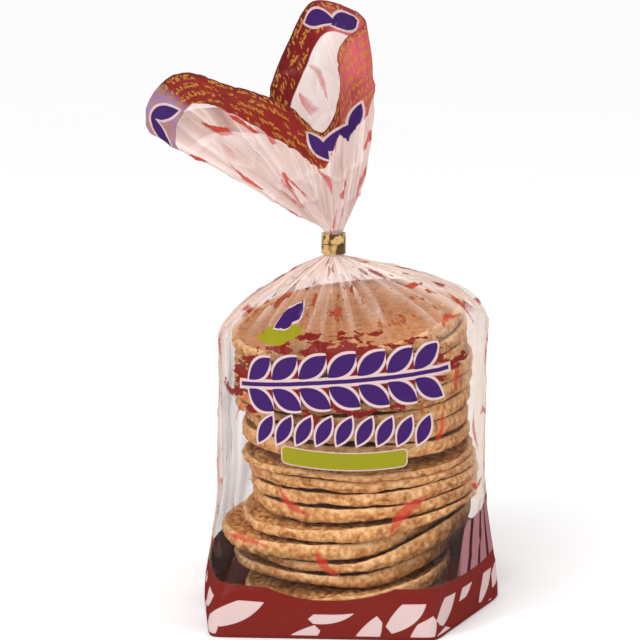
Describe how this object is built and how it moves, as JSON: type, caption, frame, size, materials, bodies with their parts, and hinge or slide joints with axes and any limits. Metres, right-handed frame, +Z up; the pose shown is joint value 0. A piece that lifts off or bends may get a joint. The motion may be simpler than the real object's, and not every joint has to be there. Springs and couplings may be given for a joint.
{
  "type": "pack of wheat crispbread",
  "caption": "Clear film bag of stacked round wheat crispbreads, gathered above the stack with a gold tie under a flared printed mouth; it stands on its flat bottom.",
  "frame": {"origin": "on the flat bottom, under the middle of the stack", "axes": "+Z up, printed front towards -Y, +X to the right of the front"},
  "size_m": [0.1553, 0.1203, 0.2606],
  "materials": {
    "film": "clear glossy film with printed fields",
    "tie": "shiny gold foil",
    "crispbread": "dry baked wheat crumb, matt"
  },
  "bodies": {
    "root": {"bag": "film", "tie": "tie"}
  },
  "joints": []
}
